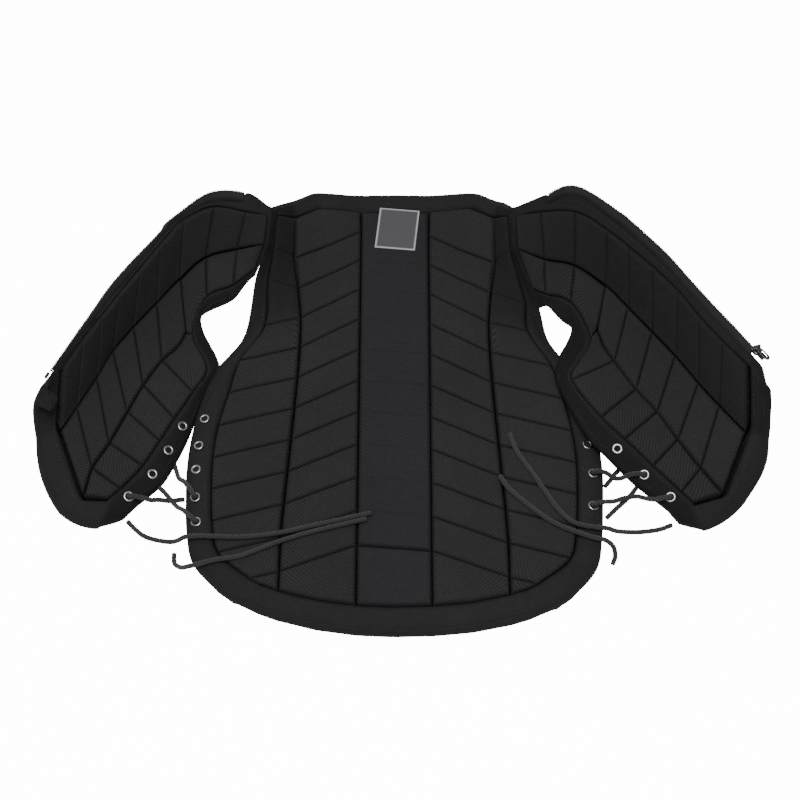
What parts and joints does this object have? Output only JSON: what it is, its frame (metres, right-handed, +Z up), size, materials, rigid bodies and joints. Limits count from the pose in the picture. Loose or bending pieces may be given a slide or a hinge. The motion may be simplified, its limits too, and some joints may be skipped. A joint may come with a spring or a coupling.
{
  "type": "riding body protector",
  "caption": "Padded zip-front riding vest laid open on its back, lining up, foam blocks under mesh, front halves laced to the back at the sides.",
  "frame": {"origin": "on the standing surface, under the middle of the vest's box without the laces", "axes": "+X to the wearer's left front half as laid, +Y from the tail to the neck, +Z up"},
  "size_m": [0.8092, 0.5708, 0.0916],
  "materials": {
    "shell_cloth": "matt woven cloth",
    "block_mesh": "matt knitted mesh",
    "spine_mesh": "matt knitted mesh",
    "zip_tape": "matt woven tape",
    "zip_teeth": "moulded teeth",
    "zip_metal": "dark satin",
    "eyelet_metal": "bright",
    "lace_cord": "round woven cord",
    "patch_cloth": "smooth woven"
  },
  "bodies": {
    "vest": {"back_shell": "shell_cloth", "back_spine_pad": "spine_mesh", "back_tail_pad": "spine_mesh", "back_inner_pads_left": "block_mesh", "back_outer_pads_left": "block_mesh", "back_inner_pads_right": "block_mesh", "back_outer_pads_right": "block_mesh", "front_shell_left": "shell_cloth", "front_outer_pads_left": "block_mesh", "front_mid_pads_left": "block_mesh", "front_inner_pads_left": "block_mesh", "front_shell_right": "shell_cloth", "front_outer_pads_right": "block_mesh", "front_mid_pads_right": "block_mesh", "front_inner_pads_right": "block_mesh", "zip_tape_left": "zip_tape", "zip_teeth_left": "zip_teeth", "zip_tape_right": "zip_tape", "zip_teeth_right": "zip_teeth", "zip_slider": "zip_metal", "zip_box": "zip_metal", "zip_pin": "zip_metal", "eyelet_back_left_1": "eyelet_metal", "eyelet_back_left_2": "eyelet_metal", "eyelet_back_left_3": "eyelet_metal", "eyelet_back_left_4": "eyelet_metal", "eyelet_back_left_5": "eyelet_metal", "eyelet_back_right_1": "eyelet_metal", "eyelet_back_right_2": "eyelet_metal", "eyelet_back_right_3": "eyelet_metal", "eyelet_front_left_1": "eyelet_metal", "eyelet_front_left_2": "eyelet_metal", "eyelet_front_left_3": "eyelet_metal", "eyelet_front_left_4": "eyelet_metal", "eyelet_front_right_1": "eyelet_metal", "eyelet_front_right_2": "eyelet_metal", "eyelet_front_right_3": "eyelet_metal", "lace_loop_left": "lace_cord", "lace_bight_left": "lace_cord", "lace_span_left_1": "lace_cord", "lace_span_left_2": "lace_cord", "lace_span_left_3": "lace_cord", "lace_loop_right": "lace_cord", "lace_bight_right": "lace_cord", "lace_span_right_1": "lace_cord", "lace_span_right_2": "lace_cord", "lace_span_right_3": "lace_cord", "lace_span_right_4": "lace_cord", "neck_patch": "patch_cloth"},
    "pull_tab": {"zip_pull_tab": "zip_metal"}
  },
  "joints": [
    {"name": "pull_tab_hinge", "type": "hinge", "parent": "vest", "child": "pull_tab", "pos_m": [0.3901, 0.02252, 0.08958], "axis": [-0.818, -0.5753, 0], "range_deg": [0, 150]}
  ]
}
